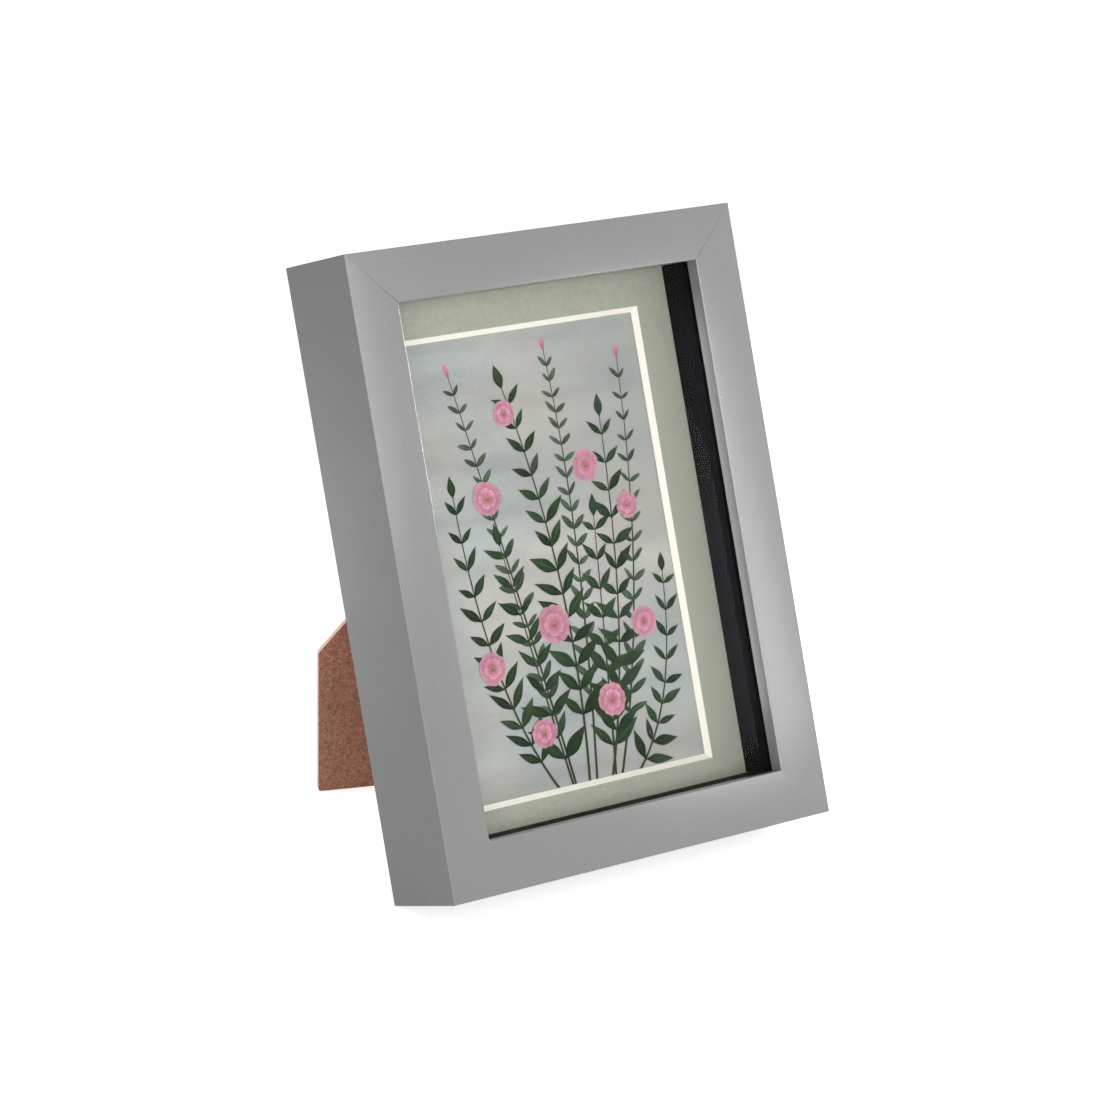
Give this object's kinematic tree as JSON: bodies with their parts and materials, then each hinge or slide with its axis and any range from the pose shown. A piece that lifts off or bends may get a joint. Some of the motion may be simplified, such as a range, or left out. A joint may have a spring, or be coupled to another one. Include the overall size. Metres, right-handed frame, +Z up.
{
  "type": "shadow box frame",
  "caption": "Deep mitred picture frame with glass, spacers, window mount and print, leaning on a hinged strut that folds out of its back.",
  "frame": {"origin": "on the table under the middle of the standing frame: centre of the bounding box, at its bottom", "axes": "+Z up, +X to the right as seen from the front, +Y back from the glass towards the strut's foot"},
  "size_m": [0.154, 0.128, 0.2038],
  "materials": {
    "painted_board": "satin grey foil over fibreboard",
    "glass": "clear picture glass",
    "black_card": "matt black card",
    "mount_board": "sage grey mount board with a cream core",
    "print_paper": "photo paper",
    "hardboard": "bare reddish brown hardboard",
    "steel": "bright zinc plate"
  },
  "bodies": {
    "frame": {"bottom_rail": "painted_board", "left_rail": "painted_board", "top_rail": "painted_board", "right_rail": "painted_board", "corner_nail_bottom_left": "steel", "corner_nail_top_left": "steel", "corner_nail_top_right": "steel", "corner_nail_bottom_right": "steel", "glass_pane": "glass", "bottom_spacer": "black_card", "left_spacer": "black_card", "top_spacer": "black_card", "right_spacer": "black_card", "mount_board": "mount_board", "art_print": "print_paper", "back_panel": "hardboard", "button_screw_bottom": "steel", "button_screw_left_1": "steel", "button_screw_left_2": "steel", "button_screw_top": "steel", "button_screw_right_1": "steel", "button_screw_right_2": "steel", "hinge_panel_leaf": "steel", "hinge_pin": "steel", "panel_rivet_1": "steel", "panel_rivet_2": "steel", "hanger_top": "steel", "hanger_side": "steel", "hanger_pin_top_1": "steel", "hanger_pin_top_2": "steel", "hanger_pin_side_1": "steel", "hanger_pin_side_2": "steel"},
    "strut": {"strut_board": "hardboard", "hinge_strut_leaf": "steel", "strut_rivet_1": "steel", "strut_rivet_2": "steel"},
    "button_bottom": {"turn_button_bottom": "steel"},
    "button_left_1": {"turn_button_left_1": "steel"},
    "button_left_2": {"turn_button_left_2": "steel"},
    "button_top": {"turn_button_top": "steel"},
    "button_right_1": {"turn_button_right_1": "steel"},
    "button_right_2": {"turn_button_right_2": "steel"}
  },
  "joints": [
    {"name": "strut_fold", "type": "hinge", "parent": "frame", "child": "strut", "pos_m": [0.0316, 0.01024, 0.13528], "axis": [-0.766, 0.2198, 0.604], "range_deg": [0, 35]},
    {"name": "turn_bottom", "type": "hinge", "parent": "frame", "child": "button_bottom", "pos_m": [0, -0.03701, 0.01188], "axis": [0, 0.9397, -0.342], "range_deg": [-90, 90]},
    {"name": "turn_left_1", "type": "hinge", "parent": "frame", "child": "button_left_1", "pos_m": [-0.06725, 0.01249, 0.1479], "axis": [0, 0.9397, -0.342], "range_deg": [-90, 90]},
    {"name": "turn_left_2", "type": "hinge", "parent": "frame", "child": "button_left_2", "pos_m": [-0.06725, -0.02308, 0.05017], "axis": [0, 0.9397, -0.342], "range_deg": [-90, 90]},
    {"name": "turn_top", "type": "hinge", "parent": "frame", "child": "button_top", "pos_m": [0, 0.02643, 0.18619], "axis": [0, 0.9397, -0.342], "range_deg": [-90, 90]},
    {"name": "turn_right_1", "type": "hinge", "parent": "frame", "child": "button_right_1", "pos_m": [0.06725, -0.02308, 0.05017], "axis": [0, 0.9397, -0.342], "range_deg": [-90, 90]},
    {"name": "turn_right_2", "type": "hinge", "parent": "frame", "child": "button_right_2", "pos_m": [0.06725, 0.01249, 0.1479], "axis": [0, 0.9397, -0.342], "range_deg": [-90, 90]}
  ]
}
